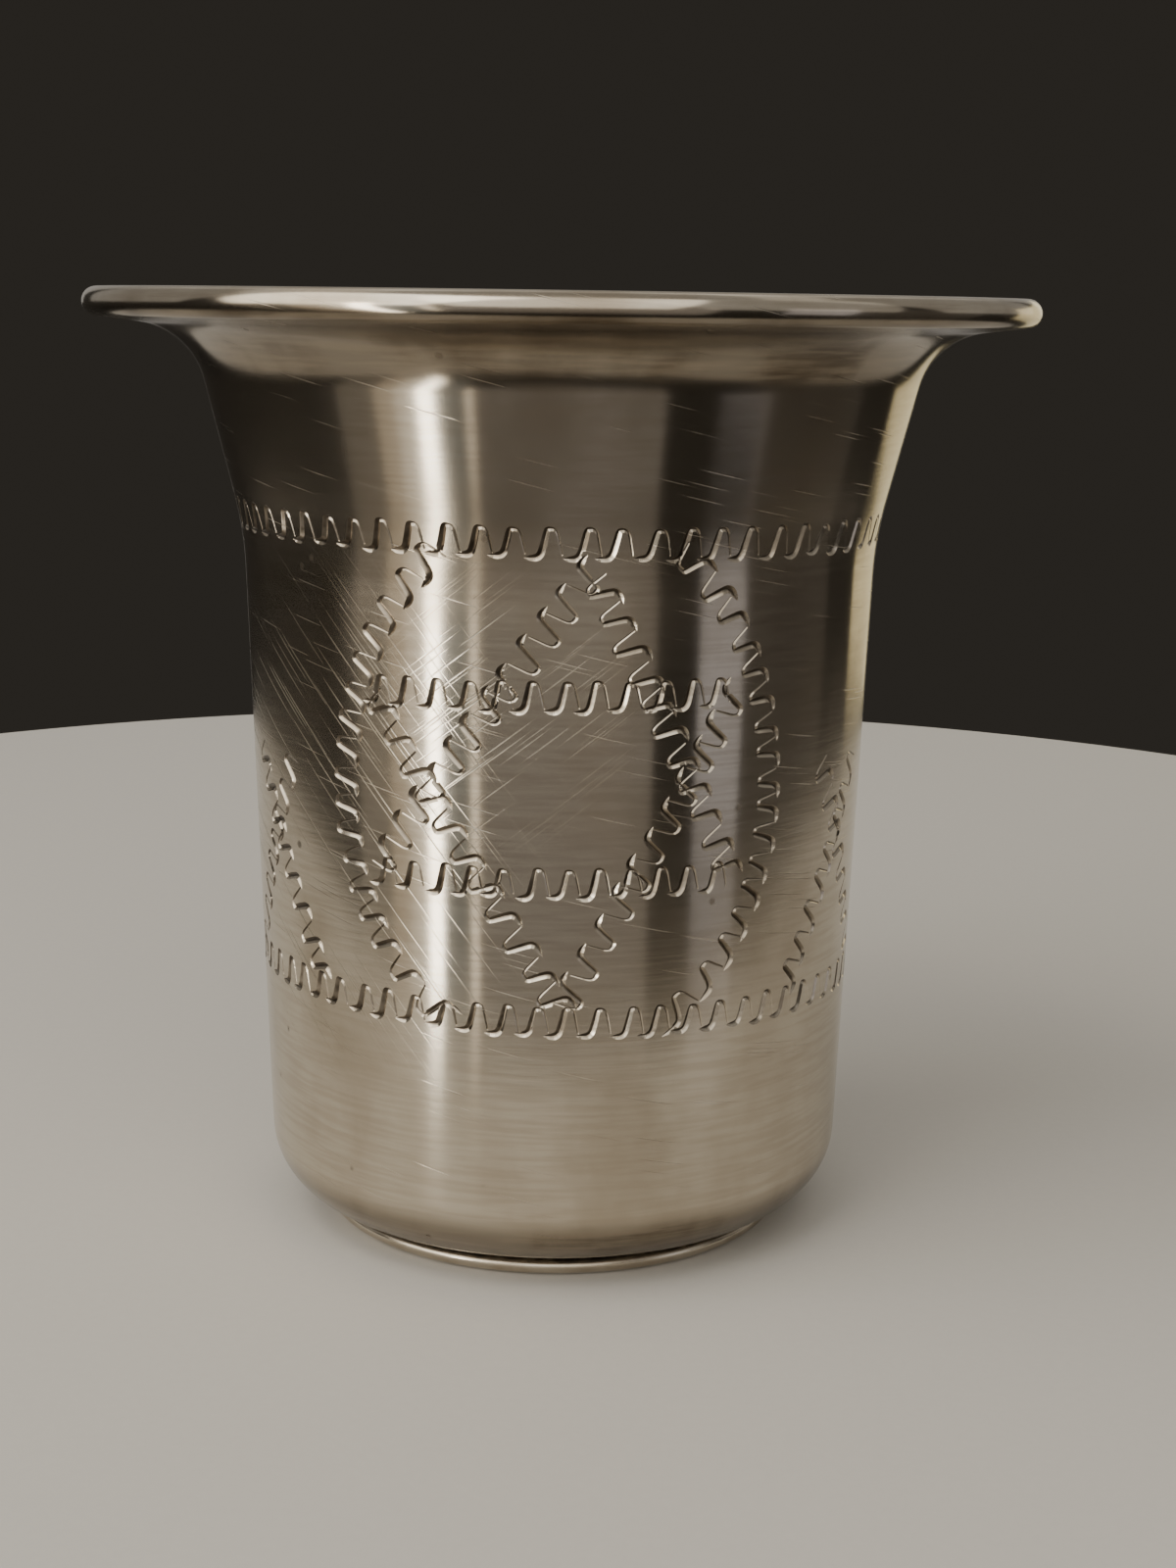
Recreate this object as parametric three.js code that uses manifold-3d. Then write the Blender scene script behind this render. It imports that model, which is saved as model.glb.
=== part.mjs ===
import * as THREE from 'three';
import { mergeVertices } from 'three/addons/utils/BufferGeometryUtils.js';
import Module from 'manifold-3d';

// A small spun silver kiddush cup in millimetres: a tapered beaker with a trumpet lip and a rolled
// bead at its edge, engraved with wriggle-cut lines, standing on a soldered wire ring.
// +Z is up, the origin is the middle of the ring's underside, and the star faces -Y.

// Beaker
const CUP_HEIGHT = 76;
const RIM_RADIUS = 37.9;
const WALL = 0.6;
const CORNER_RADIUS = 5.8;
const LOW_WALL_RADIUS = 23.85;
const WALL_TAPER = THREE.MathUtils.degToRad(2.07);
const WAIST_HEIGHT = 54;
const WAIST_ARC_RADIUS = 29;
const NECK_TAPER = THREE.MathUtils.degToRad(14);
const FLARE_HEIGHT = 69;
const FLARE_ARC_RADIUS = 5.8;
const LIP_TAPER = THREE.MathUtils.degToRad(83);
const BEAD_RADIUS = 0.9;
const LIP_EDGE_SETBACK = 0.85;

// Foot ring
const RING_RADIUS = 19.2;
const RING_WIDTH = 2.2;
const RING_HEIGHT = 1.65;
const RING_FOOT_WIDTH = 0.9;

// Engraving: heights above the table, angles from the front, positive towards +X
const STROKE_STEP = 2.45;
const STROKE_SWING = 1.02;
const STROKE_RISE = 0.36;
const GROOVE_WIDTH = 0.62;
const GROOVE_DEPTH = 0.26;
const GROOVE_CLEARANCE = 0.12;
const UPPER_BAND = { height: 58.4, lean: -0.0123, start: 1.7 };
const LOWER_BAND = { height: 22.5, lean: -0.0198, start: 0 };
const STAR_POINT_UP = [[5.2, 56.4], [-32.9, 33.2], [31.7, 33.2]];
const STAR_POINT_DOWN = [[1, 23.4], [31.4, 47.3], [-33.4, 47.1]];
const MEDALLION = { halfWidth: 17.3, height: 38.5, upperRadius: 25.9, lowerRadius: 19.4 };
const FLANK_CROSS = { angle: 62, lowSpread: 14.5, highSpread: 8, low: 23.6, high: 41 };
const BACK_ANGLE = 180;

// Roundness of the solids
const BEAKER_SIDES = 42;
const RING_SIDES = 36;
const CORNER_STEPS = 4;
const WAIST_STEPS = 2;
const FLARE_STEPS = 4;
const BEAD_STEPS = 6;
const RING_STEPS = 4;
const MERGE_DISTANCE = 1e-3;
const SAME_CORNER_DISTANCE = 1e-4;
const LENGTH_SAMPLES = 64;
const HEADING_NUDGE = 1e-4;

const SILVER = new THREE.MeshStandardMaterial({ color: 0xb9b2a4, roughness: 0.24, metalness: 1 });
const DULL_SILVER = new THREE.MeshStandardMaterial({ color: 0x9c9385, roughness: 0.34, metalness: 1 });

const wasm = await Module();
wasm.setup();

// A three.js geometry as a closed solid: shared corners merged and collapsed triangles dropped.
function toSolid(geometry) {
  const bare = new THREE.BufferGeometry();
  bare.setAttribute('position', geometry.getAttribute('position'));
  bare.setIndex(geometry.getIndex());
  const merged = mergeVertices(bare, SAME_CORNER_DISTANCE);
  const corners = merged.getIndex().array;
  const kept = [];
  for (let i = 0; i < corners.length; i += 3) {
    const [a, b, c] = corners.slice(i, i + 3);
    if (a !== b && b !== c && c !== a) {
      kept.push(a, b, c);
    }
  }
  const vertProperties = Float32Array.from(merged.getAttribute('position').array);
  const triVerts = Uint32Array.from(kept);
  return new wasm.Manifold(new wasm.Mesh({ numProp: 3, vertProperties, triVerts }));
}

function toGeometry(solid) {
  const { vertProperties, triVerts } = solid.getMesh();
  const geometry = new THREE.BufferGeometry();
  geometry.setAttribute('position', new THREE.BufferAttribute(vertProperties, 3));
  geometry.setIndex(new THREE.BufferAttribute(triVerts, 1));
  geometry.computeVertexNormals();
  return geometry;
}

// A closed (radius, height) outline turned round the Z axis.
function turned(outline, sides) {
  return new THREE.LatheGeometry(outline, sides).rotateX(Math.PI / 2);
}

// The places where the wall's straight runs turn into arcs. Starts and ends are on the outer face;
// the lower corner curves round a centre inside the cup, the waist and the flare round centres outside.
const cornerCentre = new THREE.Vector2(
  LOW_WALL_RADIUS - CORNER_RADIUS,
  RING_HEIGHT + CORNER_RADIUS,
);

function outerNormal(taper) {
  return new THREE.Vector2(Math.cos(taper), -Math.sin(taper));
}

function alongWall(start, taper, height) {
  return new THREE.Vector2(start.x + Math.tan(taper) * (height - start.y), height);
}

const wallStart = cornerCentre.clone().addScaledVector(outerNormal(WALL_TAPER), CORNER_RADIUS);
const waistStart = alongWall(wallStart, WALL_TAPER, WAIST_HEIGHT);
const waistCentre = waistStart.clone().addScaledVector(outerNormal(WALL_TAPER), WAIST_ARC_RADIUS);
const waistEnd = waistCentre.clone().addScaledVector(outerNormal(NECK_TAPER), -WAIST_ARC_RADIUS);
const flareStart = alongWall(waistEnd, NECK_TAPER, FLARE_HEIGHT);
const flareCentre = flareStart.clone().addScaledVector(outerNormal(NECK_TAPER), FLARE_ARC_RADIUS);

// Points of an arc that runs between two headings, both ends included.
function arc(centre, radius, from, to, steps) {
  const points = [];
  for (let i = 0; i <= steps; i += 1) {
    const angle = THREE.MathUtils.lerp(from, to, i / steps);
    points.push(new THREE.Vector2(Math.cos(angle), Math.sin(angle)).multiplyScalar(radius).add(centre));
  }
  return points;
}

// One face of the sheet, from the axis to its edge at the lip, set in from the outer face.
function sheetFace(inset, edgeRadius) {
  const lipStart = flareCentre.clone().addScaledVector(outerNormal(LIP_TAPER), -FLARE_ARC_RADIUS - inset);
  const lipRise = (edgeRadius - lipStart.x) / Math.tan(LIP_TAPER);
  return [
    new THREE.Vector2(0, RING_HEIGHT + inset),
    ...arc(cornerCentre, CORNER_RADIUS - inset, -Math.PI / 2, -WALL_TAPER, CORNER_STEPS),
    ...arc(waistCentre, WAIST_ARC_RADIUS + inset, Math.PI - WALL_TAPER, Math.PI - NECK_TAPER, WAIST_STEPS),
    ...arc(flareCentre, FLARE_ARC_RADIUS + inset, Math.PI - NECK_TAPER, Math.PI - LIP_TAPER, FLARE_STEPS),
    new THREE.Vector2(edgeRadius, lipStart.y + lipRise),
  ];
}

// The whole section: outer face, bead standing on the lip's edge, inner face back to the axis.
function beakerOutline() {
  const beadCentre = new THREE.Vector2(RIM_RADIUS - BEAD_RADIUS, CUP_HEIGHT - BEAD_RADIUS);
  return [
    ...sheetFace(0, RIM_RADIUS - LIP_EDGE_SETBACK),
    ...arc(beadCentre, BEAD_RADIUS, -Math.PI / 2, Math.PI, BEAD_STEPS),
    ...sheetFace(WALL, RIM_RADIUS - 2 * BEAD_RADIUS).reverse(),
  ];
}

// The outer face's radius at a height on the engraved stretch of the wall.
function wallRadius(height) {
  if (height <= waistStart.y) {
    return alongWall(wallStart, WALL_TAPER, height).x;
  }
  if (height <= waistEnd.y) {
    return waistCentre.x - Math.sqrt(WAIST_ARC_RADIUS ** 2 - (height - waistCentre.y) ** 2);
  }
  return alongWall(waistEnd, NECK_TAPER, height).x;
}

// A point over the wall, lifted off it or sunk into it. Angles are in radians from the front.
function overWall(angle, height, lift) {
  const radius = wallRadius(height) + lift;
  return new THREE.Vector3(radius * Math.sin(angle), -radius * Math.cos(angle), height);
}

// Engraved lines: each is a function of a share from 0 to 1 that gives an angle and a height.
function bandLine({ height, lean, start }) {
  return (share) => {
    const angle = THREE.MathUtils.degToRad(start) + share * 2 * Math.PI;
    return [angle, height + lean * wallRadius(height) * Math.sin(angle)];
  };
}

function straightLine([fromDegrees, fromHeight], [toDegrees, toHeight]) {
  return (share) => [
    THREE.MathUtils.degToRad(THREE.MathUtils.lerp(fromDegrees, toDegrees, share)),
    THREE.MathUtils.lerp(fromHeight, toHeight, share),
  ];
}

// One side of a medallion between the two bands: two arcs that meet at its widest place.
function medallionLine(middleDegrees, side) {
  const { halfWidth, height: middle, upperRadius, lowerRadius } = MEDALLION;
  return (share) => {
    const height = THREE.MathUtils.lerp(LOWER_BAND.height, UPPER_BAND.height, share);
    const radius = height > middle ? upperRadius : lowerRadius;
    const reach = halfWidth - radius + Math.sqrt(radius ** 2 - (height - middle) ** 2);
    const angle = THREE.MathUtils.degToRad(middleDegrees) + (side * reach) / wallRadius(middle);
    return [angle, height];
  };
}

function lineLength(line) {
  let length = 0;
  let [lastAngle, lastHeight] = line(0);
  for (let i = 1; i <= LENGTH_SAMPLES; i += 1) {
    const [angle, height] = line(i / LENGTH_SAMPLES);
    length += Math.hypot((angle - lastAngle) * wallRadius(height), height - lastHeight);
    [lastAngle, lastHeight] = [angle, height];
  }
  return length;
}

// A wriggle cut: the tool rocks from side to side of the line as it goes, one swing for each step.
function wriggle(line, closed) {
  const steps = Math.round(lineLength(line) / STROKE_STEP);
  const turns = [];
  for (let step = 0; step < steps; step += 1) {
    turns.push([step / steps, -STROKE_SWING], [(step + STROKE_RISE) / steps, STROKE_SWING]);
  }
  if (!closed) {
    turns.push([1, -STROKE_SWING]);
  }
  return turns.map(([share, swing]) => swungPoint(line, share, swing));
}

function swungPoint(line, share, swing) {
  const [angle, height] = line(share);
  const [nextAngle, nextHeight] = line(share + HEADING_NUDGE);
  const along = new THREE.Vector2((nextAngle - angle) * wallRadius(height), nextHeight - height);
  along.normalize();
  return [angle - (along.y * swing) / wallRadius(height), height + along.x * swing];
}

// The two sloping sides of a straight stretch of groove, as planes through its bottom edge.
// The slope is the one that opens the groove to its full width at the wall's face.
function groovePlanes(start, end) {
  const along = end.clone().sub(start).normalize();
  const outwards = start.clone().add(end).setZ(0).normalize();
  const sideways = outwards.clone().cross(along).normalize();
  const rise = outwards.multiplyScalar(GROOVE_DEPTH);
  const slope = (side) => sideways.clone().multiplyScalar((side * GROOVE_WIDTH) / 2).add(rise);
  return {
    slopes: [slope(1), slope(-1)],
    normals: [along.clone().cross(slope(1)), along.clone().cross(slope(-1))],
  };
}

// A direction out of the groove's bottom, scaled to end a little above the wall.
function outOfGroove(direction, bottom) {
  const outwards = bottom.clone().setZ(0).normalize();
  return direction.clone().multiplyScalar((GROOVE_DEPTH + GROOVE_CLEARANCE) / direction.dot(outwards));
}

// A V-shaped cutter along a path on the wall, as a closed solid. At each turn its sides meet where
// the planes of the two stretches cross, so every side is flat.
function grooveCutter(path, closed) {
  const count = path.length;
  const links = closed ? count : count - 1;
  const bottoms = path.map(([angle, height]) => overWall(angle, height, -GROOVE_DEPTH));
  const stretches = [];
  for (let link = 0; link < links; link += 1) {
    stretches.push(groovePlanes(bottoms[link], bottoms[(link + 1) % count]));
  }
  const corners = bottoms.flatMap((bottom, index) => {
    const before = stretches[closed ? (index + links - 1) % links : index - 1];
    const after = stretches[index];
    const [left, right] = [0, 1].map((side) => {
      const free = before && after
        ? before.normals[side].clone().cross(after.normals[side])
        : (before || after).slopes[side];
      return outOfGroove(free, bottom).add(bottom);
    });
    return [left, bottom, right];
  });
  const triangles = [];
  for (let link = 0; link < links; link += 1) {
    const near = 3 * link;
    const far = 3 * ((link + 1) % count);
    for (let edge = 0; edge < 3; edge += 1) {
      const next = (edge + 1) % 3;
      triangles.push(near + edge, far + next, near + next, near + edge, far + edge, far + next);
    }
  }
  if (!closed) {
    const last = 3 * (count - 1);
    triangles.push(0, 1, 2, last + 2, last + 1, last);
  }
  const geometry = new THREE.BufferGeometry().setFromPoints(corners);
  geometry.setIndex(triangles);
  return toSolid(geometry);
}

function triangleLines(corners) {
  return corners.map((corner, index) => straightLine(corner, corners[(index + 1) % corners.length]));
}

// A tall cross on a flank, mirrored to the other side and to the back.
function flankLines() {
  const { angle, lowSpread, highSpread, low, high } = FLANK_CROSS;
  const lines = [];
  for (const middle of [angle, -angle, BACK_ANGLE - angle, BACK_ANGLE + angle]) {
    for (const side of [-1, 1]) {
      lines.push(straightLine([middle + side * lowSpread, low], [middle - side * highSpread, high]));
    }
  }
  return lines;
}

function engravedLines() {
  const lines = [...triangleLines(STAR_POINT_UP), ...triangleLines(STAR_POINT_DOWN), ...flankLines()];
  for (const middle of [0, BACK_ANGLE]) {
    lines.push(medallionLine(middle, -1), medallionLine(middle, 1));
  }
  return lines;
}

function makeBeaker() {
  let solid = toSolid(turned(beakerOutline(), BEAKER_SIDES));
  for (const band of [UPPER_BAND, LOWER_BAND]) {
    solid = solid.subtract(grooveCutter(wriggle(bandLine(band), true), true));
  }
  for (const line of engravedLines()) {
    solid = solid.subtract(grooveCutter(wriggle(line, false), false));
  }
  // The cuts leave points in the middle of straight edges, which are merged away.
  const tidied = solid.asOriginal().simplify(MERGE_DISTANCE);
  const mesh = new THREE.Mesh(toGeometry(tidied), SILVER);
  mesh.name = 'beaker';
  return mesh;
}

// The wire's section: flat on top against the base, a narrow flat to stand on, a round outer side.
function ringOutline() {
  const inner = RING_RADIUS - RING_WIDTH;
  const roundRadius = RING_WIDTH - RING_FOOT_WIDTH;
  const roundCentre = new THREE.Vector2(inner + RING_FOOT_WIDTH, RING_HEIGHT / 2);
  const side = [];
  for (let i = 0; i <= RING_STEPS; i += 1) {
    const angle = THREE.MathUtils.lerp(-Math.PI / 2, Math.PI / 2, i / RING_STEPS);
    side.push(new THREE.Vector2(
      roundCentre.x + roundRadius * Math.cos(angle),
      roundCentre.y + (RING_HEIGHT / 2) * Math.sin(angle),
    ));
  }
  const start = new THREE.Vector2(inner, 0);
  return [start, ...side, new THREE.Vector2(inner, RING_HEIGHT), start.clone()];
}

function makeFootRing() {
  const mesh = new THREE.Mesh(toGeometry(toSolid(turned(ringOutline(), RING_SIDES))), DULL_SILVER);
  mesh.name = 'foot_ring';
  return mesh;
}

const cup = new THREE.Group();
cup.add(makeBeaker(), makeFootRing());

export default cup;
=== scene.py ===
"""A small engraved silver kiddush cup, standing on a pale studio floor."""

import math
import random

import bpy
import numpy as np
from bpy.props import FloatProperty, FloatVectorProperty, IntProperty, PointerProperty
from bpy.types import Operator, Panel, PropertyGroup
from mathutils import Matrix, Vector
from mathutils.geometry import delaunay_2d_cdt
from mathutils.kdtree import KDTree


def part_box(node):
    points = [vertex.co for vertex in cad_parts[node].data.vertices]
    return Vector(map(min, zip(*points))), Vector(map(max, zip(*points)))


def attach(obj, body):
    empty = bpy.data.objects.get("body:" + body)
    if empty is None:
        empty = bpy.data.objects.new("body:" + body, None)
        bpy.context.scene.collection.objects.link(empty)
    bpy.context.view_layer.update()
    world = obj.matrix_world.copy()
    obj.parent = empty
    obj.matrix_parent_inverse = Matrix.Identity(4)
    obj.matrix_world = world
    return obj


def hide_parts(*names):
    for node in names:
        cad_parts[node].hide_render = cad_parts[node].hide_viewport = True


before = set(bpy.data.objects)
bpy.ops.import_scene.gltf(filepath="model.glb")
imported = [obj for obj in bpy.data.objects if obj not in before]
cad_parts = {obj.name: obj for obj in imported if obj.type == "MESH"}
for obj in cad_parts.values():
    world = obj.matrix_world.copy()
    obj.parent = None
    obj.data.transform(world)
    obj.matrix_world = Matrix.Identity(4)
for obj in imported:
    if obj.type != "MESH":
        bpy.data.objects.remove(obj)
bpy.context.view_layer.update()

bl_info = {
    "name": "Engraved kiddush cup",
    "version": (1, 0, 0),
    "blender": (4, 5, 0),
    "location": "View3D > Sidebar > Cup",
    "description": "Builds an engraved silver beaker on a wire foot ring, with its finish and a studio",
    "category": "Add Mesh",
}

MM = 0.001
BEAKER_LOW, BEAKER_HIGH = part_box("beaker")
RING_LOW, RING_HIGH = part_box("foot_ring")

# Engraved places as (degrees from the front, millimetres above the table), positive towards +X
STAR_POINT_UP = ((5.2, 56.4), (-32.9, 33.2), (31.7, 33.2))
STAR_POINT_DOWN = ((1.0, 23.4), (-33.4, 47.1), (31.4, 47.3))

# Middles of the crosses and of the medallions, in degrees from the front
FLANK_MIDDLES = (62, -62, 118, -118)
MEDALLION_MIDDLES = (0, 180)

# The side of a cut that gets painted shade, its upper left wall that faces down and away from the light
# above, as a way from its middle line: (round towards +X, up)
SHADED_SIDE = (-0.6, 0.8)

# Upright studio panels: name, first and last degree round from the front (positive towards +X), lower
# edge in metres, brightness and colour
PANELS = (
    ("left_haze", -76, -62, -0.42, 0.16, (1, 0.90, 0.76)),
    ("left_beige", -62, -55, -0.42, 0.55, (1, 0.86, 0.68)),
    ("left_cream", -55, -47, -0.42, 0.9, (1, 0.92, 0.80)),
    ("left_window", -47, -42, -0.42, 11.0, (1, 0.96, 0.88)),
    ("left_wall", -42, -31, -0.42, 0.16, (0.95, 1, 0.97)),
    ("left_edge", -31, -28, -0.24, 1.4, (1, 0.90, 0.76)),
    ("front_wall", -28, 34, -0.34, 0.20, (1, 0.92, 0.84)),
    ("right_door", 50, 68, -0.13, 0.42, (0.95, 0.93, 1)),
    ("right_haze", 68, 110, -0.42, 0.04, (1, 0.90, 0.80)),
    ("right_lamp", 130, 160, -0.04, 0.9, (1, 0.86, 0.52)),
    ("back_wall", 166, 194, -0.42, 0.30, (1, 0.94, 0.86)),
)

# The large light overhead and the soft lights above eye level, in metres
OVERHEAD_PLACE = (-0.1, 0.1, 0.8)
OVERHEAD_SIZE = (1.0, 0.9)
SKY_SIZE = (0.75, 0.95)

# Soft lights above eye level: name, degrees round from the front and brightness
SKY = (
    ("left_sky", -56, 2.3),
    ("front_sky", 0, 1.2),
    ("right_sky", 56, 0.3),
    ("right_back_sky", 120, 0.25),
    ("back_sky", 180, 0.3),
    ("left_back_sky", -120, 0.25),
)

# One stroke of the rocking tool: share of a step along the line, share of the swing across it, and
# share of the full width of the cut
STROKE_SHAPE = (
    (-0.27, -1.00, 0.15),
    (-0.10, -1.03, 0.75),
    (0.08, -0.98, 1.00),
    (0.19, -0.74, 1.00),
    (0.26, -0.20, 0.96),
    (0.31, 0.32, 0.92),
    (0.36, 0.84, 0.84),
    (0.41, 1.00, 0.72),
    (0.56, 0.98, 0.52),
    (0.66, 0.68, 0.38),
    (0.73, 0.00, 0.33),
    (0.80, -0.78, 0.26),
)

# Curve steps from each of those places to the next
STROKE_STEPS = 4

# Places at which a line's length is measured, and the share of it to look ahead for its heading
LINE_SAMPLES = 65
HEADING_STEP = 1e-4

# Rings whose radius and height agree to these decimals of a metre are one, and a ring within this radius
# is a point on the axis
RING_DECIMALS = 8
AXIS_REACH = 1e-7

# Triangulation of the engraved wall: every triangle of the hull, and points this near are one
WHOLE_HULL = 0
MERGE_DISTANCE = 1e-6

# Gap between cuts and the points of bare wall, as a share of the distance between those points
CUT_CLEARANCE = 0.25

# How far in from a triangle's corner its cut is read, as a share of the way to the triangle's middle, and
# the least distance from a cut's middle line to divide by
CORNER_INSET = 0.08
LEAST_REACH = 1e-9

# Straight scratches: slant in degrees, cells to a millimetre along and across them, and the share of a
# cell that they fill
LEFT_RUBS = (-52, 0.05, 5.0, 0.30)
STAR_RUBS = (38, 0.09, 4.6, 0.32)
STRAY_SCRATCHES = (-14, 0.06, 3.6, 0.17)

# Rubbed patches of the body: middle and reach in millimetres
LEFT_PATCH = ((-20, -15, 36), 27)
STAR_PATCH = ((-4, -25, 46), 13)

# Patterns of the finish: cells to a millimetre along x, y and z
SPUN_LINES = (0.16, 0.16, 2.6)
SOFT_DENTS = (0.06, 0.06, 0.05)
TARNISH_CLOUDS = (0.11, 0.11, 0.07)
DIRT_GRIT = (0.9, 0.9, 0.9)
SPECK_CELLS = (0.17, 0.17, 0.17)
WIRE_CLOUDS = (0.3, 0.3, 0.8)
WIRE_GRIT = (0.8, 0.8, 1.5)
WIRE_RUBS = (0.6, 0.6, 4.0)
PAPER_TOOTH = (1.2, 1.2, 1.2)

# Relief of those patterns in millimetres
SPUN_DEPTH = 0.005
DENT_DEPTH = 0.05
SCRATCH_DEPTH = 0.007
WIRE_RUB_DEPTH = 0.006
TOOTH_DEPTH = 0.01

# Turns the spun grain's stretched highlights, as a share of a full turn
GRAIN_TURN = 0.25


def length(name, description, default):
    return FloatProperty(name=name, description=description, default=default, unit="LENGTH", precision=6)


def slant(name, description, degrees):
    return FloatProperty(name=name, description=description, default=math.radians(degrees), subtype="ANGLE")


def share(name, description, default):
    return FloatProperty(name=name, description=description, default=default, subtype="FACTOR", min=0, max=1)


def count(name, description, default):
    return IntProperty(name=name, description=description, default=default, min=1)


def colour(name, description, default):
    return FloatVectorProperty(
        name=name, description=description, default=default, subtype="COLOR", size=3, min=0, max=1
    )


def brightness(name, description, default):
    return FloatProperty(name=name, description=description, default=default, min=0)


# What a user may change


class CupBeakerSizes(PropertyGroup):
    """Sizes of the spun beaker."""

    height: length("Height", "Top of the bead above the table", BEAKER_HIGH.z)
    rim_radius: length("Rim radius", "Outermost radius of the bead", BEAKER_HIGH.y)
    base_height: length("Base height", "Underside of the base above the table", BEAKER_LOW.z)
    wall: length("Wall", "Thickness of the sheet", 0.6 * MM)
    corner_radius: length("Corner radius", "Outer radius of the lower corner", 5.8 * MM)
    low_wall_radius: length("Low wall radius", "Outer radius just above the corner", 23.85 * MM)
    wall_taper: slant("Wall taper", "Lean of the wall", 2.07)
    waist_height: length("Waist height", "Where the wall starts to open", 54 * MM)
    waist_arc_radius: length("Waist arc radius", "Radius of the bend at the waist", 29 * MM)
    neck_taper: slant("Neck taper", "Lean of the neck", 14)
    flare_height: length("Flare height", "Where the trumpet lip starts", 69 * MM)
    flare_arc_radius: length("Flare arc radius", "Radius of the bend under the lip", 5.8 * MM)
    lip_taper: slant("Lip taper", "Lean of the flat lip", 83)
    columns: count("Columns", "Faces around the turned stretches", 192)


class CupEngravingSizes(PropertyGroup):
    """Sizes of the wriggle-cut engraving."""

    stroke_step: length("Stroke step", "Length of a line that one stroke takes", 2.45 * MM)
    stroke_swing: length("Stroke swing", "Reach of a stroke to each side of its line", 1.02 * MM)
    cut_width: length("Cut width", "Full width of a cut at the wall's face", 0.56 * MM)
    cut_depth: length("Cut depth", "Depth of a cut of full width", 0.2 * MM)
    unevenness: share("Unevenness", "How much the strokes differ from each other", 0.09)
    upper_band_height: length("Upper band height", "Middle of the upper band", 58.4 * MM)
    upper_band_lean: FloatProperty(name="Upper band lean", description="Rise towards +X", default=-0.0123)
    upper_band_start: slant("Upper band start", "Where its first stroke is", 1.7)
    lower_band_height: length("Lower band height", "Middle of the lower band", 22.5 * MM)
    lower_band_lean: FloatProperty(name="Lower band lean", description="Rise towards +X", default=-0.0198)
    lower_band_start: slant("Lower band start", "Where its first stroke is", 0)
    medallion_half_width: length("Medallion half width", "Reach of the medallion to each side", 17.3 * MM)
    medallion_height: length("Medallion height", "Height of its widest place", 38.5 * MM)
    medallion_upper_radius: length("Medallion upper radius", "Arc above the widest place", 25.9 * MM)
    medallion_lower_radius: length("Medallion lower radius", "Arc below the widest place", 19.4 * MM)
    flank_low: length("Flank low", "Lower ends of the crosses", 23.6 * MM)
    flank_high: length("Flank high", "Upper ends of the crosses", 41 * MM)
    flank_low_spread: slant("Flank low spread", "Lower ends from a cross's middle", 14.5)
    flank_high_spread: slant("Flank high spread", "Upper ends from a cross's middle", 8)
    zone_low: length("Zone low", "Lower end of the engraved stretch of wall", 19 * MM)
    zone_high: length("Zone high", "Upper end of the engraved stretch of wall", 62.2 * MM)
    plain_step: length("Plain step", "Distance between mesh points on bare wall", 0.95 * MM)


class CupFootSizes(PropertyGroup):
    """Sizes of the wire foot ring."""

    radius: length("Radius", "Outermost radius of the ring", RING_HIGH.y)
    height: length("Height", "Height of the wire", RING_HIGH.z - RING_LOW.z)
    width: length("Width", "Width of the wire", 2.2 * MM)
    standing_width: length("Standing width", "Width of the flat that it stands on", 0.9 * MM)
    columns: count("Columns", "Faces around the ring", 192)


class CupFinish(PropertyGroup):
    """Colours and polish of the silver."""

    silver: colour("Silver", "Clean silver", (0.62, 0.56, 0.465))
    tarnish: colour("Tarnish", "Silver with a thin brown film", (0.40, 0.335, 0.25))
    # This dark colour is painted shade on faces that point down, and also the colour of the small dark
    # specks
    dark_tarnish_and_shade: colour("Dark tarnish", "Silver where a cloth seldom reaches", (0.12, 0.093, 0.064))
    # This colour is also the painted shade on the cuts' upper left sides, besides real dirt in the cuts and
    # at the joints
    grime_and_shade: colour("Grime", "Dirt left in cuts and joints", (0.055, 0.042, 0.030))
    polish: share("Polish", "Roughness of the body", 0.16)
    grain: share("Grain", "How far the spun grain spreads highlights", 0.85)


class CupStudio(PropertyGroup):
    """The floor, the lights and the air of the room."""

    floor: colour("Floor", "Plain pale floor", (0.62, 0.60, 0.56))
    floor_radius: length("Floor radius", "Radius of the round floor", 165 * MM)
    floor_front: length("Floor front", "How far the floor reaches towards the viewer", 76 * MM)
    floor_thickness: length("Floor thickness", "Thickness of the floor", 18 * MM)
    floor_edge: length("Floor edge", "Rounding of the floor's edge", 4 * MM)
    floor_columns: count("Floor columns", "Faces around the floor", 128)
    room: colour("Room", "Dim light from the room", (0.026, 0.023, 0.019))
    lamp: colour("Lamp", "Warm white of the lights overhead and above eye level", (1, 0.95, 0.87))
    overhead: brightness("Overhead", "Large dim light over the cup", 0.30)
    sky_reach: length("Sky reach", "How far the lights above eye level are from the cup's axis", 0.60)
    sky_height: length("Sky height", "Middle of the lights above eye level", 0.46)
    panel_distance: length("Panel distance", "How far the upright panels stand from the cup", 0.5)
    panel_high: length("Panel high", "Upper edge of the panels", 0.16)


class CupSettings(PropertyGroup):
    """Everything that a user may change."""

    beaker: PointerProperty(type=CupBeakerSizes)
    engraving: PointerProperty(type=CupEngravingSizes)
    foot: PointerProperty(type=CupFootSizes)
    finish: PointerProperty(type=CupFinish)
    studio: PointerProperty(type=CupStudio)


# Half sections, as rows of (point, normal) with points (radius, height)


def across(taper):
    """The outward direction of a wall with this lean."""
    return Vector((math.cos(taper), -math.sin(taper)))


def along(start, taper, height):
    """The point of a leaning wall at a height."""
    return Vector((start.x + math.tan(taper) * (height - start.y), height))


def straight_rows(start, end, steps):
    heading = (end - start).normalized()
    normal = Vector((heading.y, -heading.x))
    return [(start.lerp(end, step / steps), normal) for step in range(steps + 1)]


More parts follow.
